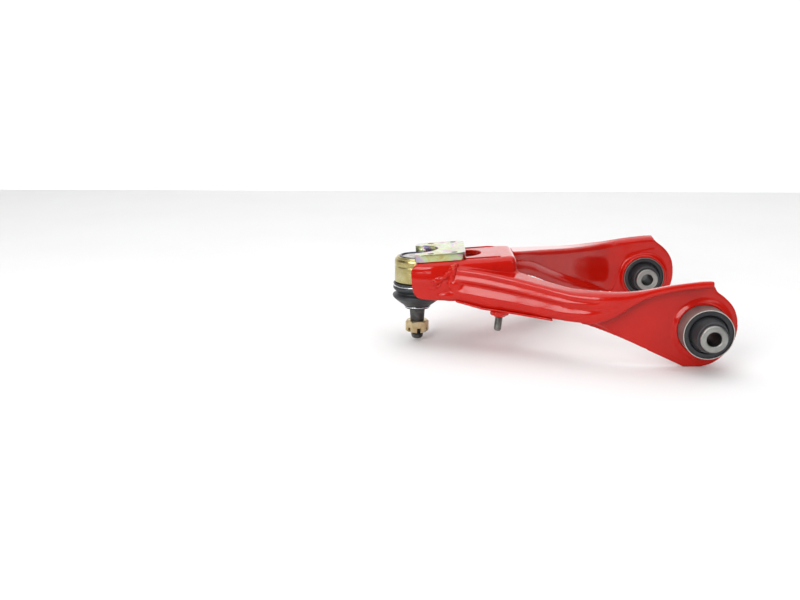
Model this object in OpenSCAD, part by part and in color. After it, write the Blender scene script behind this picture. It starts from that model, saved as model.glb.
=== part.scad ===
// Upper control arm with a sliding ball joint.
// Origin: middle of the bush pivot axis. +Y along the pivot axis, +X toward the ball joint, +Z up.

/* [Arm] */
// Distance from the pivot axis to the ball centre
reach = 217; // [215:0.5:219]
// Distance between the middles of the two eye plates
eye_gap = 196; // [195:0.5:197]
// Offset of the ball centre along the pivot axis
ball_y = 30; // [27:1:32]
// Height of the ball centre above the pivot axis
ball_z = 31; // [30:0.5:32]
// Downward slope of the head toward its open end, degrees
head_tilt = 4.5; // [4:0.5:5]
// Thickness of the pressed sheet
sheet = 3.5; // [3:0.5:4]

/* [Eyes and bushes] */
// Thickness of the eye plate
eye_t = 3.5; // [3:0.5:4]
// Outer diameter of the bush outer sleeve
sleeve_d = 38; // [36:0.5:40]
// Wall of the bush outer sleeve
sleeve_wall = 1.6; // [1.2:0.2:2]
// How far the outer sleeve stands out from the middle of the eye plate
sleeve_out = 19; // [16:1:21]
// How far the outer sleeve stands in from the middle of the eye plate
sleeve_in = 6.5; // [5:0.5:8]
// Outer diameter of the inner sleeve
tube_d = 20; // [18:0.5:21]
// Bolt bore of the inner sleeve
bolt_bore = 10.4; // [10.2:0.1:12.4]
// How far the inner sleeve stands out of the outer sleeve at each end
tube_out = 13; // [10:1:15]

/* [Head and slide] */
// Outer width of the head
head_w = 70; // [68:1:72]
// Height of the head top above the ball centre
head_top = 10.4; // [10:0.1:11]
// Width of the central slot
slot_w = 30; // [26:1:32]
// Distance of each clamp slot from the head centreline
clamp_y = 24.5; // [24:0.5:25]
// Width of a clamp slot
clamp_slot_w = 5.6; // [5.4:0.1:6]
// Length of the adjuster plate along the slide
plate_l = 41; // [40:1:43]
// Width of the adjuster plate
plate_w = 58; // [56:1:60]
// Thickness of the adjuster plate
plate_t = 6; // [5:0.5:7]
// Distance between two clamp screws along the slide
screw_pitch = 19; // [17:1:20]

/* [Ball joint] */
// Outer diameter of the ball housing
housing_d = 37.6; // [37:0.1:38]
// Diameter of the ball
ball_d = 24; // [23:0.5:25]
// Half-width across flats of the castle nut
nut_half = 8.5; // [8:0.5:9.5]
// Thread diameter of the ball stud
thread_d = 10; // [9:1:10]

/* [Hidden] */
$fn = 96;

eye_y = eye_gap / 2;
eye_out = eye_y + eye_t / 2;
eye_in = eye_y - eye_t / 2;
sleeve_r = sleeve_d / 2;
tube_r = tube_d / 2;
sleeve_y0 = eye_y - sleeve_in;
sleeve_y1 = eye_y + sleeve_out;
head_end = 4.5;
crotch_x = -80;
crotch_y0 = -26;
crotch_y1 = 32;
taper_x = -60;
head_bend = 6;
head_lean = 1.4;
head_lean_z = -8;
end_in = 3.5;
end_x = -10;
gap = 0.1;
housing_r = housing_d / 2;
ball_r = ball_d / 2;
plate_x1 = 0.7;
plate_x0 = plate_x1 - plate_l;
plate_z0 = head_top + gap;
plate_z1 = plate_z0 + plate_t;
screw_x1 = plate_x1 - 13;
screw_x0 = screw_x1 - screw_pitch;
screw_r = 2.5;
washer_t = 1;
washer_z0 = head_top - sheet - gap - washer_t;
neck_r = 16.9;
slide_in = 20;
slide_out = 2;
boss_x = 151;
boss_y = 71;
stud_lean = 6;
boss_h = 4.6;
stud_r = 3;
stud_end = 16.2;

// A leg as stations along X, measured away from the arm's middle: [x, inner wall, outer wall, top,
// outer shoulder, inner wall bottom, outer wall bottom, width of the lip under the inner wall]
FRONT = [
    [188, 55, 67.5, 40, 39, 28, 14.6, 1],
    [176, 53, 70, 38.6, 38.4, 22, 11.6, 3],
    [165, 51, 73, 37, 37.4, 17, 9.6, 5],
    [154, 50, 76.5, 35.8, 35.8, 14, 8.3, 6],
    [138, 52, 82, 35.4, 33, 11.5, 7.3, 6],
    [125, 61, 87.5, 32.8, 30.6, 8, 6.2, 6],
    [110, 71, 93.5, 29.9, 28, 4, 4.7, 5],
    [95, 81, 99, 28, 26, 1.2, 3.6, 4],
    [83, 88, 103, 28.1, 26, -0.6, 3.8, 3],
    [72, 92.3, 105.4, 28.1, 26.8, -3.8, 7.5, 2],
    [63, 94.8, 106.6, 28.2, 27.6, -7, 12.5, 1],
    [55, 96, 107.4, 28.7, 28.9, -10.2, 19, 0.5],
    [47, 96.25, 107.8, 29.6, 30.4, -13.7, 23.5, 0.5],
    [40, 96.25, 108, 30.9, 32.2, -16.9, 26.5, 0.4],
    [28, 96.25, 108, 33.2, 35, -18, 29.8, 0.4]
];
REAR = [
    [170, -14, 7, 42.5, 39.5, 30, 14, 1],
    [154, -13, 17.5, 43, 40, 29, 12.5, 3],
    [138, -11, 31, 42.5, 39.5, 25.5, 12, 5],
    [120, 8, 48, 40, 37.2, 20.4, 11, 6],
    [100, 30, 66, 37.3, 34.8, 9.2, 9, 6],
    [80, 51, 82.5, 34.7, 33, -1.4, 6, 6],
    [66, 66, 93.5, 33.3, 32.4, -7, 5.5, 5],
    [55, 77, 101, 32.6, 32.6, -10.2, 9, 3.5],
    [46, 85.3, 105.5, 32.3, 33, -12.3, 16.5, 2],
    [38, 91.6, 107.4, 32.4, 33.6, -13.9, 24, 0.9],
    [30, 95.4, 107.9, 33, 34.7, -16.9, 29, 0.5]
];
// The flange over each eye
FLANGE = [
    [22, 96.25, 108, 34.1, 36, -15.5, 30.8, 0.4],
    [14, 96.25, 108, 35.2, 37.2, -12, 32, 0.4],
    [2, 96.25, 108, 36.6, 38.6, -8, 33.3, 0.4]
];
FRONT_LIP = [-4.5, 96.25, 108, 37, 39, 22, 33.6, 0.4];
REAR_LIP = [-8.5, 96.25, 108, 37.4, 39.4, 30, 34.2, 0.4];

// Eye plates as X-Z outlines, from the top of the plate round the eye to its lower edge
FRONT_EYE = [
    [40, 28.5], [28, 31], [14, 33.2], [2, 34.8], [-4.5, 35.4], [-7, 33], [-9.4, 28.9], [-13.9, 25.6],
    [-17.4, 22.6], [-20.4, 19.5], [-22.6, 16.4], [-24.2, 13.2], [-25.3, 10], [-26, 7], [-26.4, 3.9],
    [-26.5, 0.8], [-26.3, -2.3], [-25.8, -5.5], [-24.9, -8.7], [-23.6, -11.9], [-21.9, -15], [-19.7, -18.2],
    [-17, -21.3], [-13.2, -24.6], [-9, -27.2], [-5.5, -28.7], [-1.5, -29.7], [3, -30], [11, -30],
    [12.6, -29.8], [14.2, -29.1], [40, -17.3]
];
REAR_EYE = [
    [30, 30.8], [28, 31], [14, 33.2], [2, 34.8], [-7.5, 35.9], [-11.4, 33.4], [-16.7, 29.4], [-20.7, 25.6],
    [-23.6, 21.7], [-25.8, 17.8], [-27.2, 13.9], [-28, 9.9], [-28.4, 6], [-28.5, 2.1], [-28.3, -1.9],
    [-27.6, -5.9], [-26.4, -9.9], [-24.6, -13.8], [-22.2, -17.6], [-19, -21.2], [-15, -24.6], [-10.5, -27.3],
    [-5.5, -29.1], [-1, -29.9], [3, -30], [9, -30], [11, -29.7], [13, -28.9], [30, -17.9]
];

// Places children in the head's sloping frame, whose origin is the ball centre
module in_head() {
    translate([reach, ball_y, ball_z]) rotate([0, head_tilt, 0]) children();
}

// Places children in the ball stud's upright frame, whose origin is the ball centre
module at_ball() {
    translate([reach, ball_y, ball_z]) children();
}

// Extrudes a Y-Z outline along X from x0 to x1
module along_x(x0, x1) {
    translate([x0, 0, 0]) rotate([90, 0, 90]) linear_extrude(x1 - x0) children();
}

// Extrudes an X-Z outline along Y from y0 to y1
module along_y(y0, y1) {
    translate([0, y1, 0]) rotate([90, 0, 0]) linear_extrude(y1 - y0) children();
}

// Turns an outline of [radius, height] about the Y axis
module turned_y() {
    rotate([-90, 0, 0]) rotate_extrude() children();
}

// Points of an arc round [cx, cy] from angle a0 to a1
function arc(cx, cy, r, a0, a1, n = 6) =
    [for (i = [0:n]) let (a = a0 + (a1 - a0) * i / n) [cx + r * cos(a), cy + r * sin(a)]];

// Section of a folded sheet, open below: eleven points outside, then eleven points inside
function leg_ring(s) =
    let (
        yi = s[1], yo = s[2], zt = s[3], zs = s[4], zi = s[5], zo = s[6], w = s[7], t = sheet,
        across = yo - yi,
        ri = min(6, across / 3),
        ro = min(8, (zs - zo) / 2, across / 2.2),
        brow = (zt + 2 * zs) / 3,
        zm = zs - ro,
        step = (zm - zo) / 3,
        groove = min(1.5, step / 4),
        ki = max(0.6, ri - t),
        ko = max(0, ro - t),
        zn = min(zm, zs - t - 0.4),
        inner_step = (zn - zo) / 3,
        lip = min(1, w / 5)
    )
    [
        [yi - w, zi],
        [yi, zi + 1.7 * w + 0.4],
        [yi, zt - ri],
        [yi + 0.3 * ri, zt - 0.3 * ri],
        [yi + ri, zt],
        [yo - ro, brow],
        [yo - 0.3 * ro, zs - 0.3 * ro],
        [yo, zm],
        [yo - groove, zm - step],
        [yo, zm - 2 * step],
        [yo, zo],
        [yo - t, zo],
        [yo - t, zn - 2 * inner_step],
        [yo - t - groove, zn - inner_step],
        [yo - t, zn],
        [yo - t - 0.3 * ko - 0.1, zs - t - 0.3 * ko - 0.1],
        [yo - max(ro, t + 1), brow - t],
        [yi + t + ki, zt - t],
        [yi + t + 0.3 * ki, zt - t - 0.3 * ki],
        [yi + t, zt - t - ki],
        [yi + t, zi + 1.7 * w - 0.27 * t * lip],
        [yi - w + t * (1 - 0.14 * lip), zi - 0.5 * t * lip]
    ];

// Skin of a leg through all its sections
module leg_skin(stations) {
    rings = [for (s = stations) [for (p = leg_ring(s)) [s[0], p[0], p[1]]]];
    n = len(rings[0]);
    m = len(rings);
    points = [for (r = rings) each r];
    sides = [for (j = [0:m - 2], i = [0:n - 1])
        let (a = j * n + i, b = j * n + (i + 1) % n) each [[a, a + n, b], [b, a + n, b + n]]];
    strip = [for (i = [0:n / 2 - 2])
        let (k = n - 1 - i) each [[i, i + 1, k], [i + 1, k - 1, k]]];
    base = (m - 1) * n;
    last = [for (f = strip) [base + f[0], base + f[2], base + f[1]]];
    polyhedron(points, concat(sides, strip, last));
}

// Upright plate round the bush
module eye_plate(outline) {
    along_y(eye_in, eye_out) polygon(outline);
}

// One leg: folded sheet, eye plate and the raised collar round the bush
module leg(stations, outline) {
    difference() {
        union() {
            leg_skin(stations);
            eye_plate(outline);
            turned_y() polygon([
                [sleeve_r - 1, eye_in - 4], [sleeve_r + 1.6, eye_in - 4], [sleeve_r + 2.6, eye_in - 3.2],
                [sleeve_r + 3.4, eye_in - 0.8], [sleeve_r + 4.6, eye_in + 0.5], [sleeve_r + 4.6, eye_out - 0.5],
                [sleeve_r + 2.6, eye_out + 0.8], [sleeve_r + 1.2, eye_out + 2.6], [sleeve_r - 1, eye_out + 2.6]
            ]);
        }
        along_y(eye_in - 10, eye_out + 10) circle(sleeve_r);
    }
}

module front_leg() {
    color([0.78, 0.1, 0.08]) difference() {
        leg(concat(FRONT, FLANGE, [FRONT_LIP]), FRONT_EYE);
        head_form(0, -60);
    }
}

module rear_leg() {
    color([0.78, 0.1, 0.08]) difference() {
        mirror([0, 1, 0]) leg(concat(REAR, FLANGE, [REAR_LIP]), REAR_EYE);
        head_form(0, -60);
    }
}

// How far a side of the head leans in at height z
function lean(z) = head_lean * pow(max(0, z - head_lean_z) / (head_top - head_bend - head_lean_z), 2);

// Filled outline across the head from y0 to y1, inset by t and reaching down to low
module head_section(y0, y1, t, low) {
    r = head_bend - t;
    top = head_top - t;
    rise = [for (k = [0:4]) head_lean_z + (top - r - head_lean_z) * k / 4];
    a = y0 + t;
    b = y1 - t;
    in = lean(top - r);
    polygon(concat(
        [[b, low]], [for (z = rise) [b - lean(z), z]], arc(b - in - r, top - r, r, 15, 90),
        arc(a + in + r, top - r, r, 90, 165), [for (k = [4:-1:0]) [a + lean(rise[k]), rise[k]]], [[a, low]]
    ));
}

// Part of the head between two sections, given as [x, y0, y1]
module head_span(from, to, t, low) {
    hull() {
        along_x(from[0], from[0] + 0.01) head_section(from[1], from[2], t, low);
        along_x(to[0], to[0] + 0.01) head_section(to[1], to[2], t, low);
    }
}

// Filled form of the head, inset by t: parallel sides, narrowing to the crotch and to the open end
module head_form(t, low) {
    w = head_w / 2;
    in_head() {
        along_x(taper_x, end_x) head_section(-w, w, t, low);
        head_span([taper_x, -w, w], [crotch_x + t, crotch_y0, crotch_y1], t, low);
        head_span([end_x, -w, w], [head_end + (t > 0 ? 0.5 : 0), end_in - w, w - end_in], t, low);
    }
}

// Side view of the head walls: rounded open end, lower edge stepped over the lower plates
module head_side() {
    polygon(concat(
        [[crotch_x, head_top + 1], [-5, head_top + 1], [-4.5, head_top]],
        arc(head_end - 8, head_top - 8.6, 8, 80, 0),
        [[4.5, -8], [4.2, -11], [3.5, -13.6], [2.2, -15.8], [0.2, -17.5], [-2.8, -18.5]],
        [[-6.5, -19.1], [-14, -19.8], [-28.6, -21], [-28.6, -19.2], [-50, -25.6], [-62, -24], [crotch_x, -9]]
    ));
}

// Slot with round ends from x0 to x1, given as its outer ends
module round_slot(x0, x1, w) {
    translate([x0 + w / 2, 0]) circle(w / 2);
    translate([x1 - w / 2, 0]) circle(w / 2);
    translate([x0 + w / 2, -w / 2]) square([x1 - x0 - w, w]);
}

// Openings in the head top: notch for the housing, narrower round-ended slot, two clamp slots
module head_openings() {
    notch_r = housing_r + 0.8;
    notch_x = -slide_in - 0.8;
    translate([notch_x, 0]) circle(notch_r);
    translate([notch_x, -notch_r]) square([head_end + 5 - notch_x, 2 * notch_r]);
    round_slot(-53.5, -10, slot_w);
    for (s = [-1, 1]) {
        translate([0, s * clamp_y]) round_slot(-68, screw_x1 + slide_out + 3.3, clamp_slot_w);
    }
}

module head() {
    color([0.78, 0.1, 0.08]) difference() {
        intersection() {
            head_form(0, -45);
            in_head() along_y(-head_w, head_w) head_side();
        }
        head_form(sheet, -50);
        in_head() translate([0, 0, -5]) linear_extrude(30) head_openings();
    }
}

// Sloping closing plate, cut to an X-Y outline
module lower_plate(outline) {
    t = 1.6;
    low = [[186, 11.5], [165, 6.9], [140, 5.2], [100, 2.2]];
    difference() {
        intersection() {
            along_y(-110, 110) polygon(concat(low, [for (i = [3:-1:0]) [low[i][0], low[i][1] + t]]));
            translate([0, 0, -10]) linear_extrude(40) polygon(outline);
        }
        translate([reach - slide_in, ball_y, 0]) cylinder(h = 40, r = 27);
    }
}

module front_lower_plate() {
    color([0.72, 0.09, 0.07]) lower_plate([
        [186, 58], [186, 66.8], [170, 71], [154, 76], [138, 81.6], [125, 87], [112, 92], [112, 73],
        [125, 64], [138, 54], [152, 38], [172, 38]
    ]);
}

module rear_lower_plate() {
    color([0.72, 0.09, 0.07]) lower_plate([
        [186, 2], [186, -4.8], [170, -6.6], [154, -17], [138, -30.5], [120, -47.5], [114, -52.6], [114, -17],
        [120, -11], [138, 8], [152, 22], [172, 22]
    ]);
}

// Weld run on a side face of the head, through points given as [x, z]
module weld_run(path, side_y) {
    difference() {
        for (i = [0:len(path) - 2]) {
            d = path[i + 1] - path[i];
            translate([path[i][0], side_y, path[i][1]]) rotate([0, atan2(d[0], d[1]), 0])
                cylinder(h = norm(d) + 0.8, r = 2, $fn = 10);
        }
        head_form(0, -60);
    }
}

module weld_beads() {
    color([0.7, 0.09, 0.07]) {
        weld_run([[190.4, 40], [191, 36.6], [193.2, 30.5], [199.3, 27], [202.5, 23.2]], ball_y + head_w / 2);
        weld_run([[170, 42], [172.3, 38], [173, 26], [176, 18], [182, 15]], ball_y - head_w / 2);
    }
}

// Places children at the boss, with +Z along the stud's outward direction
module at_boss() {
    translate([boss_x, boss_y, 6]) rotate([0, 180 - stud_lean, 0]) children();
}

// Space above the lower plates' underside
module above_plates() {
    along_y(0, 110) polygon([[186, 11.4], [165, 6.8], [140, 5.1], [100, 2.1], [100, 30], [186, 30]]);
}

module stud_boss() {
    color([0.7, 0.09, 0.07]) difference() {
        at_boss() cylinder(h = boss_h, r1 = 8, r2 = 5.5);
        above_plates();
        at_boss() cylinder(h = 20, r = stud_r - 0.2);
    }
}

module bracket_stud() {
    color([0.32, 0.32, 0.3]) difference() {
        at_boss() rotate_extrude() polygon([
            [0, 0], [stud_r - 0.2, 0], [stud_r - 0.2, boss_h + 0.01], [stud_r, boss_h + 0.01],
            [stud_r, stud_end - 0.8], [stud_r - 0.8, stud_end], [0, stud_end]
        ]);
        above_plates();
    }
}

module outer_sleeve() {
    turned_y() polygon([
        [sleeve_r - sleeve_wall, sleeve_y0], [sleeve_r - 0.4, sleeve_y0], [sleeve_r, sleeve_y0 + 0.6],
        [sleeve_r, sleeve_y1 - 0.6], [sleeve_r - 0.4, sleeve_y1], [sleeve_r - sleeve_wall, sleeve_y1]
    ]);
}

module front_outer_sleeve() {
    color([0.43, 0.37, 0.36]) outer_sleeve();
}

module rear_outer_sleeve() {
    color([0.43, 0.37, 0.36]) mirror([0, 1, 0]) outer_sleeve();
}

// Bonded rubber: a body inside the sleeve with a groove at each face, and a neck along the tube
module rubber() {
    ro = sleeve_r - sleeve_wall;
    ri = tube_r + 0.05;
    neck = ri + 2.4;
    y0 = sleeve_y0;
    y1 = sleeve_y1;
    far = tube_out - 3;
    turned_y() polygon([
        [ri, y0 - far], [neck - 0.8, y0 - far], [neck, y0 - far + 1.5], [neck, y0 + 1], [neck + 1.5, y0 + 3],
        [ro - 3, y0 + 2.5], [ro - 1.6, y0 + 0.4], [ro, y0 + 0.4],
        [ro, y1 - 0.4], [ro - 1.6, y1 - 0.4], [ro - 3, y1 - 2.5],
        [neck + 1.5, y1 - 3], [neck, y1 - 1], [neck, y1 + far - 1.5], [neck - 0.8, y1 + far], [ri, y1 + far]
    ]);
}

module front_rubber() {
    color([0.13, 0.14, 0.15]) rubber();
}

module rear_rubber() {
    color([0.13, 0.14, 0.15]) mirror([0, 1, 0]) rubber();
}

module inner_sleeve() {
    r = bolt_bore / 2;
    y0 = sleeve_y0 - tube_out;
    y1 = sleeve_y1 + tube_out;
    turned_y() polygon([
        [r + 0.7, y0], [tube_r - 0.6, y0], [tube_r, y0 + 0.6], [tube_r, y1 - 0.6], [tube_r - 0.6, y1],
        [r + 0.7, y1], [r, y1 - 0.7], [r, y0 + 0.7]
    ]);
}

module front_inner_sleeve() {
    color([0.65, 0.65, 0.63]) inner_sleeve();
}

module rear_inner_sleeve() {
    color([0.65, 0.65, 0.63]) mirror([0, 1, 0]) inner_sleeve();
}

// Corner-rounded rectangle
module round_plate(x0, x1, w, r) {
    translate([x0 + r, -w / 2]) square([x1 - x0 - 2 * r, w]);
    translate([x0, -w / 2 + r]) square([x1 - x0, w - 2 * r]);
    for (x = [x0 + r, x1 - r], y = [r - w / 2, w / 2 - r]) {
        translate([x, y]) circle(r);
    }
}

module adjuster_plate() {
    mouth_r = neck_r + 0.05;
    color([0.75, 0.72, 0.5]) difference() {
        in_head() difference() {
            translate([0, 0, plate_z0]) linear_extrude(plate_t) round_plate(plate_x0, plate_x1, plate_w, 6.5);
            for (x = [screw_x0, screw_x1], s = [-1, 1]) {
                translate([x, s * clamp_y, 0]) cylinder(h = plate_z1 + 5, r = screw_r);
            }
        }
        at_ball() cylinder(h = 30, r = mouth_r);
    }
}

module clamp_screws() {
    head_h = 5;
    color([0.35, 0.35, 0.36]) in_head() for (x = [screw_x0, screw_x1], s = [-1, 1]) {
        translate([x, s * clamp_y, 0]) difference() {
            union() {
                translate([0, 0, washer_z0 - head_h]) cylinder(h = head_h, r = 4);
                translate([0, 0, washer_z0 - 1]) cylinder(h = plate_z1 + 0.7 - washer_z0, r = screw_r);
            }
            translate([0, 0, washer_z0 - head_h - 1]) cylinder(h = 3.6, r = 2.3, $fn = 6);
        }
    }
}

module clamp_washers() {
    color([0.6, 0.6, 0.58]) in_head() for (x = [screw_x0, screw_x1], s = [-1, 1]) {
        translate([x, s * clamp_y, washer_z0]) difference() {
            cylinder(h = washer_t, r = 3.6);
            translate([0, 0, -1]) cylinder(h = washer_t + 2, r = screw_r + 0.15);
        }
    }
}

module ball_housing() {
    r = housing_r;
    color([0.69, 0.63, 0.4]) at_ball() rotate_extrude() polygon([
        [12.2, -11], [13.7, -17.5], [15.6, -17.5], [15.6, -9.9], [r - 0.6, -9.9], [r, -9.3],
        [r, 3.4], [r - 0.4, 3.7], [r - 0.4, 4.3], [r, 4.6], [r, 8.8], [r - 0.9, 10.1], [neck_r, 10.2],
        [neck_r, 11], [neck_r - 0.4, 11.4], [14.9, 11.4], [14.9, 9.6], [14.2, 9.6], [14.2, 6], [15, 5.6], [15, -9]
    ]);
}

module ball_seat() {
    r = ball_r + 0.05;
    low = -7;
    high = 5.5;
    a0 = asin(low / r);
    a1 = asin(high / r);
    color([0.85, 0.85, 0.8]) at_ball() rotate_extrude() polygon(concat(
        [[14.9, low - 1.8], [14.9, high]], arc(0, 0, r, a1, a0, 24), [[r * cos(a0), low - 1.8]]
    ));
}

module pressure_spring() {
    color([0.5, 0.5, 0.52]) at_ball() rotate_extrude() polygon([
        [10.9, 5.6], [14.1, 7.6], [14.1, 8.5], [10.9, 6.5]
    ]);
}

module top_cap() {
    color([0.55, 0.55, 0.5]) at_ball() rotate_extrude() polygon([
        [0, 11.3], [0, 12.3], [6, 12.1], [11.6, 11.2], [14.1, 10.9], [14.1, 9.7], [11.4, 9.7], [7.4, 11.1]
    ]);
}

module cap_ring() {
    color([0.5, 0.5, 0.48]) at_ball() rotate_extrude() polygon([
        [13.4, 11.1], [14.8, 11.1], [14.8, 11.8], [14.5, 12.1], [13.7, 12.1], [13.4, 11.8]
    ]);
}

// Boot: collar on the housing, ring groove, waist, bulge and a cone down to the stud
module boot() {
    color([0.14, 0.14, 0.15]) at_ball() rotate_extrude() polygon([
        [17.2, -10.4], [19.4, -10.5], [19.9, -11], [19.8, -11.7], [18.9, -12], [18.9, -13.2],
        [19.8, -13.6], [20.1, -14.6], [19.9, -15.8],
        [18.6, -17.2], [17.3, -18.4], [17.4, -19.4], [20, -20.4], [20.6, -21.4], [20.1, -22.8],
        [11.8, -29.8], [10, -30.4], [10, -31.6], [8, -33], [6.8, -33], [6.8, -29.6], [9, -27.8],
        [17.8, -21.4], [15.6, -19.4], [15.6, -18], [17.2, -16.8]
    ]);
}

// Round-wire ring
module ring(ring_r, wire_r) {
    rotate_extrude() translate([ring_r, 0]) circle(wire_r, $fn = 24);
}

module boot_upper_ring() {
    color([0.7, 0.7, 0.7]) at_ball() translate([0, 0, -12.6]) ring(19.5, 0.6);
}

module boot_lower_ring() {
    color([0.75, 0.75, 0.75]) at_ball() translate([0, 0, -31]) ring(10.65, 0.6);
}

// Ball, thin neck, taper and thread in one piece, with a cross hole near the end
module ball_stud() {
    r = thread_d / 2;
    thin_r = 5.8;
    neck_z = -sqrt(ball_r * ball_r - thin_r * thin_r);
    a0 = asin(neck_z / ball_r);
    color([0.28, 0.28, 0.28]) at_ball() difference() {
        rotate_extrude() polygon(concat(
            [[0, -59.1]], [[r - 1.2, -59.1], [r, -57.7], [r, -44.1], [r - 0.5, -43.7], [r - 0.5, -43.3]],
            [[5.75, -43.1], [6.5, -32], [6.5, -29], [thin_r, -26]],
            arc(0, 0, ball_r, a0, 45, 30), [[0, ball_r * sin(45)]]
        ));
        translate([-10, 0, -50.7]) rotate([0, 90, 0]) cylinder(h = 20, r = 1.25, $fn = 24);
    }
}

// Slotted nut: hexagon with six slots cut into its lower end
module castle_nut() {
    turn = 10;
    color([0.73, 0.65, 0.47]) at_ball() rotate([0, 0, turn]) difference() {
        intersection() {
            translate([0, 0, -53.2]) cylinder(h = 10, r = nut_half / cos(30), $fn = 6);
            translate([0, 0, -53.2]) rotate_extrude() polygon([
                [0, 0], [nut_half - 0.4, 0], [nut_half + 1.3, 1.2],
                [nut_half + 1.3, 8.6], [nut_half - 0.2, 10], [0, 10]
            ]);
        }
        translate([0, 0, -60]) cylinder(h = 20, r = thread_d / 2 + 0.05);
        for (a = [30:60:330]) {
            rotate([0, 0, a]) translate([0, -1.5, -54.2]) cube([12, 3, 5]);
        }
    }
}

front_leg();
rear_leg();
head();
front_lower_plate();
rear_lower_plate();
weld_beads();
stud_boss();
bracket_stud();
front_outer_sleeve();
rear_outer_sleeve();
front_rubber();
rear_rubber();
front_inner_sleeve();
rear_inner_sleeve();
adjuster_plate();
clamp_screws();
clamp_washers();
ball_housing();
ball_seat();
pressure_spring();
top_cap();
cap_ring();
boot();
boot_upper_ring();
boot_lower_ring();
ball_stud();
castle_nut();
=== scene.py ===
import math
import random

import bmesh
import bpy
from mathutils import Matrix, Vector


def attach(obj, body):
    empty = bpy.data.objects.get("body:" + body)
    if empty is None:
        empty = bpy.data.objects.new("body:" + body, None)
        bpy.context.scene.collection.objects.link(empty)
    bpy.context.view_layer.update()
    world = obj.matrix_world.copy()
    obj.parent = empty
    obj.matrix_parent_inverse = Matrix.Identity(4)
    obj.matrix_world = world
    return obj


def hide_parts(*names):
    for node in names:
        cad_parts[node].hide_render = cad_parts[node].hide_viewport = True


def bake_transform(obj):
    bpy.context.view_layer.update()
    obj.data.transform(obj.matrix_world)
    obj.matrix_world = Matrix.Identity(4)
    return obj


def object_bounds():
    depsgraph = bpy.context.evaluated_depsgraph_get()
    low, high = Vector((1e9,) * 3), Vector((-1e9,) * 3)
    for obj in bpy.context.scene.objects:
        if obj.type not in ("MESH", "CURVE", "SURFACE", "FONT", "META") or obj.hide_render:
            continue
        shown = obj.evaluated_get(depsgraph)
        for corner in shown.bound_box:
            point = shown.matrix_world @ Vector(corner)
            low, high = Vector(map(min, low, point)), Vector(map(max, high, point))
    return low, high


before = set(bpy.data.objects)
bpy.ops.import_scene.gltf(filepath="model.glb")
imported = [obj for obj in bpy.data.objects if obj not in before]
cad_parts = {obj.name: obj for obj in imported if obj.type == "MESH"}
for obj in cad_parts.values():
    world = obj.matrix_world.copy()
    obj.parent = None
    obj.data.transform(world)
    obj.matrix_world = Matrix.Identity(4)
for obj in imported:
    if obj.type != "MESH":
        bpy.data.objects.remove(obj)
cad_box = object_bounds()

MM = 0.001
SHEET = 3.5
BALL = (217.0, 30.0, 31.0)
TILT = math.radians(4.5)
EYE_IN, EYE_OUT = 96.25, 99.75
SLEEVE_R = 19.0
HEAD_HALF = 35.0
HEAD_TOP = 10.4
HEAD_BEND = 6.0
HEAD_LEAN, LEAN_FROM = 1.4, -8.0
HEAD_END = 4.5
END_IN, END_FROM = 3.5, -14.0
CLAMP_Y, CLAMP_SLOT_W = 24.5, 5.6
CENTRAL_SLOT_W = 30
NOTCH_X, NOTCH_R = -20.8, 19.6
SLEEVE_Y0, SLEEVE_Y1 = 91.5, 117.0
STUD_FOOT = (151, 71, 6)
STUD_LEAN = 6
CROTCH_X, CROTCH_Y0, CROTCH_Y1, TAPER_X = -80.0, -26.0, 32.0, -60.0

# [x, inner wall, outer wall, top, outer shoulder, inner wall bottom, outer wall bottom, lip width], mm
FRONT = [
    (191, 56, 64.5, 39.5, 38, 28, 12.6, 1),
    (188, 55, 67.2, 40, 39, 28, 12.6, 1),
    (176, 53, 70, 38.6, 38.4, 22, 10.6, 3),
    (165, 51, 73, 37, 37.4, 17, 8.4, 5),
    (154, 50, 76.5, 35.8, 35.8, 14, 7.6, 6),
    (138, 52, 82, 35.4, 33, 11.5, 6.6, 6),
    (125, 61, 87.5, 32.8, 30.6, 8, 5.4, 6),
    (110, 71, 93.5, 29.9, 28, 4, 4.4, 5),
    (95, 81, 99, 28, 26, 1.2, 3.6, 4),
    (83, 88, 103, 28.1, 26, -0.6, 3.8, 3),
    (72, 92.3, 105.4, 28.1, 26.8, -3.8, 7.5, 2),
    (63, 94.8, 106.6, 28.2, 27.6, -7, 12.5, 1),
    (55, 96, 107.4, 28.7, 28.9, -10.2, 19, 0.5),
    (47, 96.25, 107.8, 29.6, 30.4, -13.7, 23.5, 0.5),
    (40, 96.25, 108, 30.9, 32.2, -16.9, 26.5, 0.4),
    (28, 96.25, 108, 33.2, 35, -18, 29.8, 0.4),
]
REAR = [
    (170, -14, 7, 42.5, 39.5, 30, 14, 1),
    (154, -13, 17.5, 43, 40, 29, 12.5, 3),
    (138, -11, 31, 42.5, 39.5, 25.5, 12, 5),
    (120, 8, 48, 40, 37.2, 20.4, 11, 6),
    (100, 30, 66, 37.3, 34.8, 9.2, 9, 6),
    (80, 51, 82.5, 34.7, 33, -1.4, 6, 6),
    (66, 66, 93.5, 33.3, 32.4, -7, 5.5, 5),
    (55, 77, 101, 32.6, 32.6, -10.2, 9, 3.5),
    (46, 85.3, 105.5, 32.3, 33, -12.3, 16.5, 2),
    (38, 91.6, 107.4, 32.4, 33.6, -13.9, 24, 0.9),
    (30, 95.4, 107.9, 33, 34.7, -16.9, 29, 0.5),
]
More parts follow.
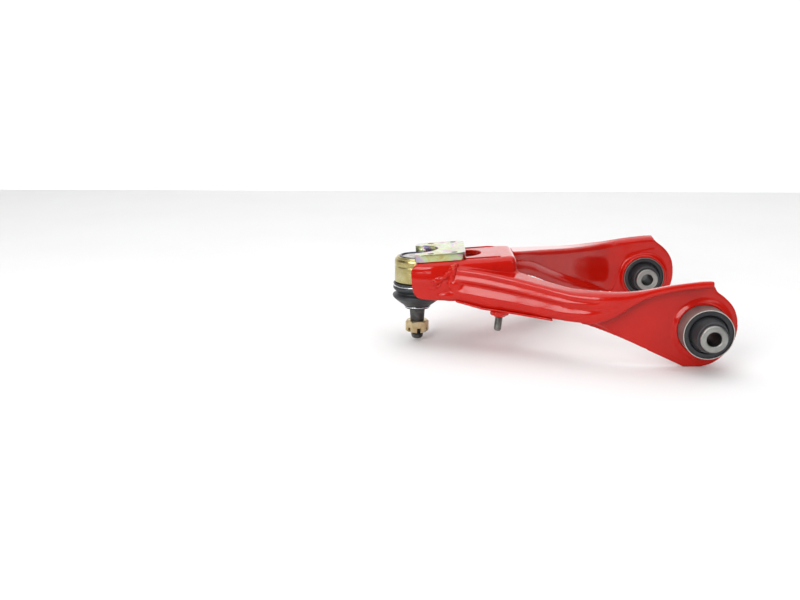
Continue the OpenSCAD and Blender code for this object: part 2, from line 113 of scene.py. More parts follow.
# Over the eyes the folded wall stays above the bush; the eye plate closes the rest
FLANGE = [
    (22, 96.25, 108, 34.1, 36, 8, 30.8, 0.4),
    (14, 96.25, 108, 35.2, 37.2, 20, 32, 0.4),
    (2, 96.25, 108, 36.6, 38.6, 24, 33.3, 0.4),
]
FRONT_LIP = [(-3.2, 96.25, 108, 36.9, 38.9, 26, 33.6, 0.4), (-4.5, 96.25, 106.8, 36.3, 38, 26, 33.9, 0.4)]
REAR_LIP = [(-7.2, 96.25, 108, 37.3, 39.3, 26, 34.2, 0.4), (-8.5, 96.25, 106.8, 36.7, 38.4, 26, 34.5, 0.4)]
FRONT_EYE = [
    (40, 28.5), (28, 31), (14, 33.2), (2, 34.8), (-4.5, 35.4), (-7, 33), (-9.4, 28.9), (-13.9, 25.6),
    (-17.4, 22.6), (-20.4, 19.5), (-22.6, 16.4), (-24.2, 13.2), (-25.3, 10), (-26, 7), (-26.4, 3.9),
    (-26.5, 0.8), (-26.3, -2.3), (-25.8, -5.5), (-24.9, -8.7), (-23.6, -11.9), (-21.9, -15), (-19.7, -18.2),
    (-17, -21.3), (-13.2, -24.6), (-9, -27.2), (-5.5, -28.7), (-1.5, -29.7), (3, -30), (11, -30),
    (12.6, -29.8), (14.2, -29.1), (40, -17.3),
]
REAR_EYE = [
    (30, 30.8), (28, 31), (14, 33.2), (2, 34.8), (-7.5, 35.9), (-11.4, 33.4), (-16.7, 29.4), (-20.7, 25.6),
    (-23.6, 21.7), (-25.8, 17.8), (-27.2, 13.9), (-28, 9.9), (-28.4, 6), (-28.5, 2.1), (-28.3, -1.9),
    (-27.6, -5.9), (-26.4, -9.9), (-24.6, -13.8), (-22.2, -17.6), (-19, -21.2), (-15, -24.6), (-10.5, -27.3),
    (-5.5, -29.1), (-1, -29.9), (3, -30), (9, -30), (11, -29.7), (13, -28.9), (30, -17.9),
]


# ---------------------------------------------------------------- mesh helpers

def lerp(a, b, u):
    return a + (b - a) * u


def smooth_step(a, b, x):
    u = min(1.0, max(0.0, (x - a) / (b - a)))
    return u * u * (3 - 2 * u)


def knots(points, x):
    """Smooth curve through (x, value) points sorted by x."""
    if x <= points[0][0]:
        return points[0][1]
    for (x0, y0), (x1, y1) in zip(points, points[1:]):
        if x <= x1:
            return y0 + (y1 - y0) * smooth_step(x0, x1, x)
    return points[-1][1]


def new_object(name, bm):
    bmesh.ops.recalc_face_normals(bm, faces=bm.faces)
    mesh = bpy.data.meshes.new(name)
    bm.to_mesh(mesh)
    bm.free()
    mesh.polygons.foreach_set("use_smooth", [True] * len(mesh.polygons))
    obj = bpy.data.objects.new(name, mesh)
    bpy.context.scene.collection.objects.link(obj)
    return obj


def remove(*objects):
    for obj in objects:
        bpy.data.objects.remove(obj, do_unlink=True)


def apply_modifiers(obj):
    """Turns the object's modifiers into its mesh."""
    bpy.context.view_layer.update()
    shape = obj.evaluated_get(bpy.context.evaluated_depsgraph_get())
    mesh = bpy.data.meshes.new_from_object(shape)
    old = obj.data
    obj.modifiers.clear()
    obj.data = mesh
    mesh.name = obj.name
    bpy.data.meshes.remove(old)
    return obj


def cut(obj, cutter, operation="DIFFERENCE"):
    mod = obj.modifiers.new("cut", "BOOLEAN")
    mod.operation = operation
    mod.solver = "EXACT"
    mod.object = cutter
    apply_modifiers(obj)
    remove(cutter)
    return obj


def joined(name, parts):
    """One object holding the meshes of all the parts."""
    bm = bmesh.new()
    for part in parts:
        bm.from_mesh(part.data)
    remove(*parts)
    return new_object(name, bm)


def remeshed(obj, voxel, passes):
    """Fuses the object's solids into one skin with soft edges."""
    mod = obj.modifiers.new("remesh", "REMESH")
    mod.mode = "VOXEL"
    mod.voxel_size = voxel * MM
    mod.use_smooth_shade = True
    if passes:
        soft = obj.modifiers.new("soften", "SMOOTH")
        soft.factor = 0.5
        soft.iterations = passes
    apply_modifiers(obj)
    obj.data.polygons.foreach_set("use_smooth", [True] * len(obj.data.polygons))
    return obj


def solid_from_rings(name, rings, closed_strip=False):
    """Skins rings of points in mm; with closed_strip each ring is a folded strip, out and back."""
    bm = bmesh.new()
    grid = [[bm.verts.new(Vector(p) * MM) for p in ring] for ring in rings]
    n = len(rings[0])
    for a, b in zip(grid, grid[1:]):
        for i in range(n):
            j = (i + 1) % n
            bm.faces.new((a[i], a[j], b[j], b[i]))
    for end in (grid[0], grid[-1]):
        if closed_strip:
            for i in range(n // 2 - 1):
                bm.faces.new((end[i], end[i + 1], end[n - 2 - i], end[n - 1 - i]))
        else:
            bm.faces.new(end)
    return new_object(name, bm)


def turned(name, profile, centre, axis="Z", segments=128, closed=True):
    """Turns (radius, height) points in mm about an axis through centre."""
    bm = bmesh.new()
    grid = []
    for k in range(segments):
        a = 2 * math.pi * k / segments
        row = []
        for r, h in profile:
            u, v = r * math.cos(a), r * math.sin(a)
            p = (u, v, h) if axis == "Z" else (u, h, v)
            row.append(bm.verts.new((Vector(p) + Vector(centre)) * MM))
        grid.append(row)
    count = len(profile)
    for k in range(segments):
        a, b = grid[k], grid[(k + 1) % segments]
        for i in range(count if closed else count - 1):
            j = (i + 1) % count
            bm.faces.new((a[i], b[i], b[j], a[j]))
    bmesh.ops.remove_doubles(bm, verts=bm.verts, dist=1e-7)
    return new_object(name, bm)


def rounded(points, radius, steps=3):
    """Closed outline with every corner rounded by at most the radius."""
    out = []
    n = len(points)
    for i in range(n):
        p, q, r = Vector(points[i - 1]), Vector(points[i]), Vector(points[(i + 1) % n])
        a, b = p - q, r - q
        reach = min(radius, a.length * 0.45, b.length * 0.45)
        s, e = q + a.normalized() * reach, q + b.normalized() * reach
        for k in range(steps + 1):
            u = k / steps
            out.append(tuple((1 - u) ** 2 * s + 2 * u * (1 - u) * q + u * u * e))
    return out


def prism(name, outline, low, high, place):
    """Extrudes an outline between two heights; place maps (u, v, h) to millimetres."""
    rings = [[place(u, v, h) for u, v in outline] for h in (low, high)]
    return solid_from_rings(name, rings)


def arc_points(cx, cy, r, a0, a1, steps=8):
    return [(cx + r * math.cos(math.radians(lerp(a0, a1, i / steps))),
             cy + r * math.sin(math.radians(lerp(a0, a1, i / steps)))) for i in range(steps + 1)]


def stadium(x0, x1, width, y=0.0):
    r = width / 2
    return arc_points(x0 + r, y, r, 90, 270, 24) + arc_points(x1 - r, y, r, -90, 90, 24)


def smooth_by_angle(obj, degrees):
    mesh = obj.data
    mesh.polygons.foreach_set("use_smooth", [True] * len(mesh.polygons))
    bm = bmesh.new()
    bm.from_mesh(mesh)
    limit = math.radians(degrees)
    for edge in bm.edges:
        edge.smooth = len(edge.link_faces) == 2 and edge.calc_face_angle(0.0) < limit
    bm.to_mesh(mesh)
    bm.free()


def refined(node, width=0.4, segments=3, angle=32):
    """A copy of a CAD node with its edges broken."""
    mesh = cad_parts[node].data.copy()
    obj = bpy.data.objects.new(node + "_fine", mesh)
    bpy.context.scene.collection.objects.link(obj)
    bm = bmesh.new()
    bm.from_mesh(mesh)
    bmesh.ops.remove_doubles(bm, verts=bm.verts, dist=2e-6)
    bmesh.ops.dissolve_limit(bm, angle_limit=math.radians(1.0), verts=bm.verts, edges=bm.edges)
    bm.to_mesh(mesh)
    bm.free()
    mod = obj.modifiers.new("bevel", "BEVEL")
    mod.width = width * MM
    mod.segments = segments
    mod.limit_method = "ANGLE"
    mod.angle_limit = math.radians(angle)
    mod.use_clamp_overlap = True
    apply_modifiers(obj)
    smooth_by_angle(obj, 30)
    return obj


def in_head(x, y, z):
    """The head's sloping frame to the arm's frame, mm."""
    c, s = math.cos(TILT), math.sin(TILT)
    return (BALL[0] + x * c + z * s, BALL[1] + y, BALL[2] - x * s + z * c)


# ---------------------------------------------------------------- materials

def node_material(name):
    mat = bpy.data.materials.new(name)
    mat.use_nodes = True
    tree = mat.node_tree
    shader = tree.nodes["Principled BSDF"]
    coords = tree.nodes.new("ShaderNodeTexCoord")
    return mat, tree, shader, coords.outputs["Object"]


def noise(tree, coords, scale, detail, roughness=0.55, distortion=0.0):
    tex = tree.nodes.new("ShaderNodeTexNoise")
    tex.inputs["Scale"].default_value = scale
    tex.inputs["Detail"].default_value = detail
    tex.inputs["Roughness"].default_value = roughness
    tex.inputs["Distortion"].default_value = distortion
    tree.links.new(coords, tex.inputs["Vector"])
    return tex.outputs["Fac"]


def ramp(tree, factor, stops):
    node = tree.nodes.new("ShaderNodeValToRGB")
    elements = node.color_ramp.elements
    while len(elements) < len(stops):
        elements.new(0.5)
    for element, (place, colour) in zip(elements, stops):
        element.position = place
        element.color = (*colour, 1)
    tree.links.new(factor, node.inputs["Fac"])
    return node.outputs["Color"]


def spread(tree, factor, low, high):
    node = tree.nodes.new("ShaderNodeMapRange")
    node.inputs["From Min"].default_value = 0.3
    node.inputs["From Max"].default_value = 0.7
    node.inputs["To Min"].default_value = low
    node.inputs["To Max"].default_value = high
    tree.links.new(factor, node.inputs["Value"])
    return node.outputs["Result"]


def bump(tree, shader, height, strength, distance, chain=None):
    node = tree.nodes.new("ShaderNodeBump")
    node.inputs["Strength"].default_value = strength
    node.inputs["Distance"].default_value = distance
    tree.links.new(height, node.inputs["Height"])
    if chain:
        tree.links.new(chain, node.inputs["Normal"])
    tree.links.new(node.outputs["Normal"], shader.inputs["Normal"])
    return node.outputs["Normal"]


def red_paint():
    mat, tree, shader, co = node_material("red_powder_coat")
    shader.inputs["IOR"].default_value = 1.5
    shader.inputs["Specular IOR Level"].default_value = 0.34
    shade = noise(tree, co, 38, 3)
    tree.links.new(ramp(tree, shade, [(0.3, (0.47, 0.006, 0.002)), (0.7, (0.54, 0.009, 0.003))]),
                   shader.inputs["Base Color"])
    tree.links.new(spread(tree, noise(tree, co, 160, 3), 0.07, 0.14), shader.inputs["Roughness"])
    wave = bump(tree, shader, noise(tree, co, 420, 2), 0.09, 0.0004)
    bump(tree, shader, noise(tree, co, 2600, 2), 0.05, 0.00012, wave)
    return mat


def plated(name, stops, scale, rough, metallic=1.0, warp=0.8):
    """Zinc or steel whose colour drifts over the surface, with a fine grain."""
    mat, tree, shader, co = node_material(name)
    shader.inputs["Metallic"].default_value = metallic
    drift = noise(tree, co, scale, 3, 0.5, warp)
    tree.links.new(ramp(tree, drift, stops), shader.inputs["Base Color"])
    tree.links.new(spread(tree, noise(tree, co, scale * 4, 5), *rough), shader.inputs["Roughness"])
    bump(tree, shader, noise(tree, co, 900, 5), 0.12, 0.0002)
    return mat


def turned_steel(name, stops, rough, ring_scale, metallic=1.0, painted_bore_shade_within=0.0, bright_beyond=0.0):
    """Lathe-cut steel: fine rings round the bush axis, painted shade darkening the bore, and a lighter outer rim."""
    mat, tree, shader, co = node_material(name)
    shader.inputs["Metallic"].default_value = metallic
    split = tree.nodes.new("ShaderNodeSeparateXYZ")
    tree.links.new(co, split.inputs[0])
    radial = tree.nodes.new("ShaderNodeCombineXYZ")
    tree.links.new(split.outputs["X"], radial.inputs["X"])
    tree.links.new(split.outputs["Z"], radial.inputs["Y"])
    length = tree.nodes.new("ShaderNodeVectorMath")
    length.operation = "LENGTH"
    tree.links.new(radial.outputs[0], length.inputs[0])
    along = tree.nodes.new("ShaderNodeCombineXYZ")
    tree.links.new(length.outputs["Value"], along.inputs["X"])
    tree.links.new(split.outputs["Y"], along.inputs["Y"])
    rings = noise(tree, along.outputs[0], ring_scale, 3)
    colour = ramp(tree, noise(tree, co, 110, 4), stops)
    # Painted shade: inside this radius round the axis the bore's colour is swapped for a flat dark grey.
    if painted_bore_shade_within:
        colour = blend_zone(tree, colour, length.outputs["Value"], painted_bore_shade_within, (0.13, 0.13, 0.13), False)
    # Past this distance along the axis, the outer rim's colour is swapped for a lighter grey.
    if bright_beyond:
        depth = tree.nodes.new("ShaderNodeMath")
        depth.operation = "ABSOLUTE"
        tree.links.new(split.outputs["Y"], depth.inputs[0])
        colour = blend_zone(tree, colour, depth.outputs[0], bright_beyond, (0.62, 0.60, 0.56), True)
    tree.links.new(colour, shader.inputs["Base Color"])
    tree.links.new(spread(tree, rings, *rough), shader.inputs["Roughness"])
    bump(tree, shader, rings, 0.25, 0.0001)
    return mat


def blend_zone(tree, colour, value, edge, other, above):
    """Swaps the colour for another where a position value is above (or below) an edge."""
    zone = tree.nodes.new("ShaderNodeMapRange")
    zone.inputs["From Min"].default_value = edge - 0.00015
    zone.inputs["From Max"].default_value = edge + 0.00015
    zone.inputs["To Min"].default_value = 0.0 if above else 1.0
    zone.inputs["To Max"].default_value = 1.0 if above else 0.0
    tree.links.new(value, zone.inputs["Value"])
    mix = tree.nodes.new("ShaderNodeMix")
    mix.data_type = "RGBA"
    tree.links.new(zone.outputs["Result"], mix.inputs[0])
    tree.links.new(colour, mix.inputs[6])
    mix.inputs[7].default_value = (*other, 1)
    return mix.outputs[2]


def rubber_material():
    mat, tree, shader, co = node_material("rubber")
    tree.links.new(ramp(tree, noise(tree, co, 120, 5), [
        (0.3, (0.016, 0.017, 0.020)), (0.7, (0.030, 0.032, 0.036))]), shader.inputs["Base Color"])
    tree.links.new(spread(tree, noise(tree, co, 300, 4), 0.38, 0.55), shader.inputs["Roughness"])
    wave = bump(tree, shader, noise(tree, co, 500, 3), 0.12, 0.0003)
    bump(tree, shader, noise(tree, co, 3500, 3), 0.15, 0.0001, wave)
    return mat


def plastic_material():
    mat, tree, shader, co = node_material("seat_plastic")
    tree.links.new(ramp(tree, noise(tree, co, 200, 3), [
        (0.3, (0.62, 0.61, 0.55)), (0.7, (0.70, 0.69, 0.63))]), shader.inputs["Base Color"])
    shader.inputs["Roughness"].default_value = 0.5
    bump(tree, shader, noise(tree, co, 1500, 3), 0.15, 0.0001)
    return mat


MATERIALS = {
    "red_powder_coat": red_paint(),
    "rubber": rubber_material(),
    "seat_plastic": plastic_material(),
    "yellow_zinc": plated("yellow_zinc", [
        (0.30, (0.44, 0.34, 0.11)), (0.41, (0.50, 0.50, 0.24)), (0.50, (0.44, 0.54, 0.34)),
        (0.56, (0.60, 0.36, 0.42)), (0.62, (0.38, 0.36, 0.56)), (0.70, (0.56, 0.46, 0.16))],
        48, (0.16, 0.28), warp=1.8),
    "housing_zinc": plated("housing_zinc", [
        (0.32, (0.34, 0.27, 0.10)), (0.5, (0.46, 0.39, 0.17)), (0.68, (0.54, 0.49, 0.26))],
        70, (0.24, 0.38)),
    "bronze_zinc": plated("bronze_zinc", [
        (0.32, (0.40, 0.28, 0.14)), (0.5, (0.56, 0.43, 0.24)), (0.68, (0.62, 0.52, 0.34))],
        150, (0.28, 0.42)),
    "clear_zinc": plated("clear_zinc", [
        (0.35, (0.56, 0.58, 0.62)), (0.65, (0.72, 0.73, 0.74))], 150, (0.18, 0.32)),
    "dark_steel": plated("dark_steel", [
        (0.35, (0.045, 0.045, 0.045)), (0.65, (0.10, 0.10, 0.095))], 160, (0.38, 0.55), 0.7),
    "bracket_steel": plated("bracket_steel", [
        (0.35, (0.13, 0.13, 0.12)), (0.65, (0.24, 0.24, 0.22))], 160, (0.38, 0.55), 0.8),
    "cap_steel": plated("cap_steel", [
        (0.34, (0.34, 0.25, 0.24)), (0.48, (0.42, 0.40, 0.39)), (0.66, (0.55, 0.53, 0.50))], 140, (0.24, 0.4), 1.0),
    "spring_steel": plated("spring_steel", [
        (0.35, (0.10, 0.11, 0.15)), (0.65, (0.20, 0.21, 0.25))], 140, (0.25, 0.4)),
    "bush_steel": turned_steel("bush_steel", [
        # The outer sleeve's end rim is coloured lighter grey.
        (0.35, (0.20, 0.165, 0.155)), (0.65, (0.28, 0.235, 0.22))], (0.42, 0.6), 900, 0.45, bright_beyond=0.1168),
    # The inner sleeve's bore gets painted shade.
    "sleeve_steel": turned_steel("sleeve_steel", [
        (0.35, (0.30, 0.30, 0.285)), (0.65, (0.42, 0.42, 0.40))], (0.36, 0.56), 2600, painted_bore_shade_within=0.0056),
}


def paint(obj, finish):
    obj.data.materials.clear()
    obj.data.materials.append(MATERIALS[finish])
    obj.data.polygons.foreach_set("material_index", [0] * len(obj.data.polygons))


def place(obj, body, finish, *nodes):
    """Gives a piece its finish and its body, and hides the CAD nodes that it stands for."""
    paint(obj, finish)
    if nodes:
        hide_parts(*nodes)
    if body:
        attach(obj, body)
    return obj


# ---------------------------------------------------------------- legs

def column_curves(stations):
    """Rows of the table at every millimetre, through a monotone cubic, then slightly smoothed."""
    rows = sorted(stations)
    xs = [r[0] for r in rows]
    width = len(rows[0])
    slopes = []
    for c in range(width):
        secants = [(rows[i + 1][c] - rows[i][c]) / (xs[i + 1] - xs[i]) for i in range(len(rows) - 1)]
        m = [secants[0]]
        for i in range(1, len(secants)):
            a, b = secants[i - 1], secants[i]
            m.append(0.0 if a * b <= 0 else 2 * a * b / (a + b))
        slopes.append(m + [secants[-1]])
    count = int(round(xs[-1] - xs[0]))
    out = []
    for k in range(count + 1):
        x = min(xs[-1], xs[0] + k)
        i = max(j for j in range(len(xs) - 1) if xs[j] <= x)
        h = xs[i + 1] - xs[i]
        u = (x - xs[i]) / h
        row = [x]
        for c in range(1, width):
            p0, p1 = rows[i][c], rows[i + 1][c]
            m0, m1 = slopes[c][i] * h, slopes[c][i + 1] * h
            row.append((2 * u ** 3 - 3 * u ** 2 + 1) * p0 + (u ** 3 - 2 * u ** 2 + u) * m0
                       + (3 * u ** 2 - 2 * u ** 3) * p1 + (u ** 3 - u ** 2) * m1)
        out.append(row)
    reach = 5
    soft = []
    for k, row in enumerate(out):
        span = min(reach, k, len(out) - 1 - k)
        near = out[k - span:k + span + 1]
        soft.append([row[0]] + [sum(r[c] for r in near) / len(near) for c in range(1, width)])
    return soft


# Depth of the pressed steps in the outer wall, from its shoulder (0) to its lower edge (1)
STEPS = [(0, 1.6), (0.20, 0), (0.32, 2.7), (0.66, 0), (0.78, 0.2), (1, 2.4)]
STEP_FADE = [(58, 0), (75, 0.15), (92, 0.45), (108, 0.75), (130, 1), (200, 1)]


def bend(p, q, r, radius, steps):
    a, b = p - q, r - q
    reach = min(radius, a.length * 0.46, b.length * 0.46)
    s, e = q + a.normalized() * reach, q + b.normalized() * reach
    return [(1 - u) ** 2 * s + 2 * u * (1 - u) * q + u * u * e for u in (k / steps for k in range(steps + 1))]


def wall_line(corners, radii, fade):
    """One face of the folded sheet: lip, inner wall, top and stepped outer wall, as fixed counts."""
    a, b, c, d, e = (Vector(p) for p in corners)
    lip = b - a
    out = []
    for k in range(6):
        u = k / 6
        out.append(a + lip * u + Vector((-lip.y, lip.x)).normalized() * lip.length * 0.2 * 4 * u * (1 - u))
    first = bend(b, c, d, radii[0], 8)
    second = bend(c, d, e, radii[1], 8)
    out += [b.lerp(first[0], k / 12) for k in range(12)]
    out += first
    out += [first[-1].lerp(second[0], k / 12) for k in range(1, 12)]
    depth = knots(STEPS, 0) * fade
    out += [p - Vector((depth * (k / 8) ** 2, 0)) for k, p in enumerate(second)]
    count = 30
    for k in range(1, count + 1):
        f = k / count
        out.append(second[-1].lerp(e, f) - Vector((knots(STEPS, f) * fade, 0)))
    return out


def head_gap(x, y):
    """Distance from the head's walls in plan, negative inside."""
    u = min(1.0, max(0.0, (157 - x) / 19.5))
    near, far = lerp(62.8, 59.8, u), lerp(-2.8, 6.2, u)
    side = max(y - near, far - y)
    if x >= 137.5:
        return side
    return math.hypot(137.5 - x, max(0.0, side))


def leg_section(row, side):
    x, yi, yo, zt, zs, zi, zo, w = row
    t = SHEET
    across = yo - yi
    ri = min(6, across / 3)
    ro = min(5, (zs - zo) / 2, across / 2.2)
    fade = knots(STEP_FADE, x) * min(1.0, (zs - zo) / 18)
    lip = min(1.0, w / 5)
    fold = zi + 1.7 * w + 0.4
    outer = wall_line([(yi - w, zi), (yi, fold), (yi, zt), (yo, zs), (yo, zo)], (ri, ro), fade)
    inner = wall_line([(yi - w + t * (1 - 0.14 * lip), zi - 0.5 * t * lip), (yi + t, fold - 0.4 - 0.27 * t * lip),
                       (yi + t, zt - t), (yo - t, zs - t), (yo - t, zo)],
                      (max(0.8, ri - t), max(0.8, ro - t)), fade)
    fillet = 3.0
    ring = []
    for k, p in enumerate(outer):
        z = p.y
        if 20 <= k <= 50:
            gap = max(0.0, head_gap(x, side * p.x))
            if gap < fillet:
                z += fillet - math.sqrt(max(0.0, fillet ** 2 - (fillet - gap) ** 2))
        ring.append((x, side * p.x, z))
    return ring + [(x, side * p.x, p.y) for p in reversed(inner)]


def dense_outline(points, steps=4):
    """Closed curve through the points, kept straight where they are far apart."""
    out = []
    n = len(points)
    for i in range(n):
        p0, p1, p2, p3 = (Vector(points[(i + k) % n]) for k in (-1, 0, 1, 2))
        if (p2 - p1).length > 9:
            out += [tuple(p1.lerp(p2, k / steps)) for k in range(steps)]
            continue
        for k in range(steps):
            u = k / steps
            p = 0.5 * (2 * p1 + (p2 - p0) * u + (2 * p0 - 5 * p1 + 4 * p2 - p3) * u * u
                       + (3 * p1 - p0 - 3 * p2 + p3) * u ** 3)
            out.append(tuple(p))
    return out


def eye_plate(name, outline, side):
    bm = bmesh.new()
    points = dense_outline(outline)
    layers = []
    for y in (EYE_IN, EYE_OUT):
        out = [bm.verts.new((x * MM, side * y * MM, z * MM)) for x, z in points]
        hole = []
        for x, z in points:
            r = math.hypot(x, z)
            hole.append(bm.verts.new((x / r * SLEEVE_R * MM, side * y * MM, z / r * SLEEVE_R * MM)))
        layers.append((out, hole))
    n = len(points)
    (o0, h0), (o1, h1) = layers
    for i in range(n):
        j = (i + 1) % n
        bm.faces.new((o0[i], o0[j], h0[j], h0[i]))
        bm.faces.new((o1[i], h1[i], h1[j], o1[j]))
        bm.faces.new((o0[i], o1[i], o1[j], o0[j]))
        bm.faces.new((h0[i], h0[j], h1[j], h1[i]))
    return new_object(name, bm)


def lean(z):
    """How far a side of the head leans in at height z of the head's frame."""
    return HEAD_LEAN * (max(0.0, z - LEAN_FROM) / (HEAD_TOP - HEAD_BEND - LEAN_FROM)) ** 2


def head_solid(name, inset, crotch_round, low, end):
    """The head's form, inset by a thickness, with its top rounded over at the crotch."""
    def section(x, y0, y1, top, r):
        rise = [lerp(LEAN_FROM, top - r, k / 6) for k in range(7)]
        pull = lean(top - r)
        pts = [(y1, low)] + [(y1 - lean(z), z) for z in rise] + arc_points(y1 - pull - r, top - r, r, 15, 90)
        pts += arc_points(y0 + pull + r, top - r, r, 90, 165)
        pts += [(y0 + lean(z), z) for z in reversed(rise)] + [(y0, low)]
        return [in_head(x, y, z) for y, z in pts]

    def half(x):
        return HEAD_HALF - END_IN * max(0.0, (x - END_FROM) / (HEAD_END - END_FROM)) ** 1.4

    top = HEAD_TOP - inset
    r = HEAD_BEND - inset
    xs = [end + (TAPER_X - end) * k / 24 for k in range(25)]
    widths = [half(min(x, HEAD_END)) - inset for x in xs]
    rings = [section(x, -w, w, top, r) for x, w in zip(xs, widths)]
    last = CROTCH_X + inset + crotch_round
    steps = [(lerp(TAPER_X, last, k / 8), 0.0) for k in range(1, 9)]
    steps += [(last - crotch_round * math.sin(math.radians(a)), crotch_round * (1 - math.cos(math.radians(a))))
              for a in range(11, 91, 11)]
    for x, drop in steps:
        u = (TAPER_X - x) / (TAPER_X - CROTCH_X)
        y0, y1 = lerp(-HEAD_HALF, CROTCH_Y0, u) + inset, lerp(HEAD_HALF, CROTCH_Y1, u) - inset
        rings.append(section(x, y0 + drop * 0.8, y1 - drop * 0.8, top - drop, r))
    return solid_from_rings(name, rings)


def leg(name, stations, outline, side, body, noses=()):
    rings = [leg_section(row, side) for row in column_curves(stations)]
    skin = solid_from_rings(name + "_skin", rings, True)
    plate = eye_plate(name + "_eye", outline, side)
    edge = SLEEVE_R
    profile = rounded([
        (edge, EYE_IN - 4), (edge + 1.6, EYE_IN - 4), (edge + 2.4, EYE_IN - 3), (edge + 3.2, EYE_IN - 0.8),
        (edge + 5.4, EYE_IN + 0.8), (edge + 6, EYE_OUT - 0.8), (edge + 4.4, EYE_OUT + 0.2),
        (edge + 2.8, EYE_OUT + 1), (edge + 1.4, EYE_OUT + 2.3), (edge, EYE_OUT + 2.6)], 0.9)
    collar = turned(name + "_collar", [(r, side * h) for r, h in profile], (0, 0, 0), "Y", 120)
    parts = [skin, plate, collar]
    for x, y, z, sizes in noses:
        bm = bmesh.new()
        shape = Matrix.Translation(Vector((x, y, z)) * MM) @ Matrix.Diagonal((*sizes, 1.0))
        bmesh.ops.create_icosphere(bm, subdivisions=4, radius=MM, matrix=shape)
        parts.append(new_object(name + "_nose", bm))
    piece = remeshed(joined(name + "_pressing", parts), 0.8, 5)
    cut(piece, head_solid("leg_cut", 1.8, 3.0, -60, 30))
    piece.data.polygons.foreach_set("use_smooth", [True] * len(piece.data.polygons))
    return place(piece, body, "red_powder_coat", name)


leg("front_leg", FRONT + FLANGE + FRONT_LIP, FRONT_EYE, 1, "arm",
    [(189, 63.6, 16.2, (13, 3.6, 4.6)), (186, 64.6, 25, (6, 3.4, 6))])
leg("rear_leg", REAR + FLANGE + REAR_LIP, REAR_EYE, -1, "arm")


# ---------------------------------------------------------------- head

def head_piece():
    piece = head_solid("head_pressing", 0, 4.5, -45, HEAD_END)
    side = [(-90, 12), (-5, 12), (-4.5, HEAD_TOP)]
    side += arc_points(HEAD_END - 8, HEAD_TOP - 8.6, 8, 80, 0)
    side += [(4.5, -8), (4.2, -11), (3.5, -13.6), (2.2, -15.8), (0.2, -17.5), (-2.8, -18.5), (-6.5, -19.1)]
    side += [(-14, -19.8), (-28.6, -21), (-28.6, -19.2), (-50, -25.6), (-62, -24), (-80, -9), (-90, -2)]
    cut(piece, prism("side", side, -60, 60, lambda u, v, h: in_head(u, h, v)), "INTERSECT")
    cut(piece, head_solid("inside", SHEET, 1.2, -60, 12))
    flat = lambda u, v, h: in_head(u, v, h)
    for outline in (stadium(NOTCH_X - NOTCH_R, 45, 2 * NOTCH_R), stadium(-53.5, -10, CENTRAL_SLOT_W),
                    stadium(-68, -7, CLAMP_SLOT_W, CLAMP_Y), stadium(-68, -7, CLAMP_SLOT_W, -CLAMP_Y)):
        cut(piece, prism("opening", outline, 2, 20, flat))
    remeshed(piece, 0.5, 4)
    return place(piece, "arm", "red_powder_coat", "head")


head_piece()


# ---------------------------------------------------------------- welds and closing plates

def lumps(name, spots, voxel=0.35, passes=3, extra=()):
    """Fuses small balls (x, y, z, radius), and any extra solids, into one lumpy skin."""
    bm = bmesh.new()
    for x, y, z, r in spots:
        at = Matrix.Translation(Vector((x, y, z)) * MM)
        bmesh.ops.create_icosphere(bm, subdivisions=2, radius=r * MM, matrix=at)
    ball = new_object(name + "_balls", bm)
    return remeshed(joined(name, [ball, *extra]), voxel, passes)


def bead(path, radius, step, seed, flat=0.0):
    """Ball places along a path: a weld bead with its ripples."""
    rand = random.Random(seed)
    spots = []
    for p, q in zip(path, path[1:]):
        p, q = Vector(p), Vector(q)
        count = max(1, round((q - p).length / step))
        for k in range(count):
            c = p.lerp(q, k / count)
            spots.append((c.x + rand.uniform(-0.4, 0.4), c.y + rand.uniform(-0.2, 0.2) - flat,
                          c.z + rand.uniform(-0.3, 0.3), radius * rand.uniform(0.82, 1.12)))
    return spots


def near_weld():
    face = BALL[1] + HEAD_HALF
    spots = bead([(186, face - 1.6, 40.5), (189, face - 0.8, 38), (192, face, 34.2), (195.5, face, 31),
                  (199.5, face - 0.2, 28.4), (203, face - 0.6, 25.6)], 2.3, 1.5, 3, 0.6)
    spots += bead([(187.6, face + 0.8, 37), (189, face + 1.2, 32), (190.4, face + 0.8, 27), (189.4, face + 0.6, 23)],
                  2.5, 1.5, 5, 0.5)
    spots += bead([(199, face, 31.2), (203, face - 0.6, 29.6), (205.4, face - 1, 26)], 1.3, 1.2, 6, 0.4)
    spots += bead([(198, face, 26), (200.5, face - 0.2, 23.2), (204.6, face - 0.8, 22)], 1.5, 1.2, 7, 0.5)
    rand = random.Random(8)
    for _ in range(14):
        spots.append((rand.uniform(193, 206), face - 0.4, rand.uniform(18, 33), rand.uniform(0.4, 0.8)))
    return spots


def far_weld():
    face = BALL[1] - HEAD_HALF
    spots = bead([(169, face, 42), (171, face, 38), (172.6, face, 26), (176, face, 18), (182, face, 15)],
                 2.1, 1.2, 4, -0.3)
    rand = random.Random(9)
    for _ in range(12):
        spots.append((rand.uniform(172, 186), face - 0.1, rand.uniform(16, 36), rand.uniform(0.3, 0.6)))
    return spots


place(lumps("weld_beads_run", near_weld() + far_weld()), "arm", "red_powder_coat", "weld_beads")


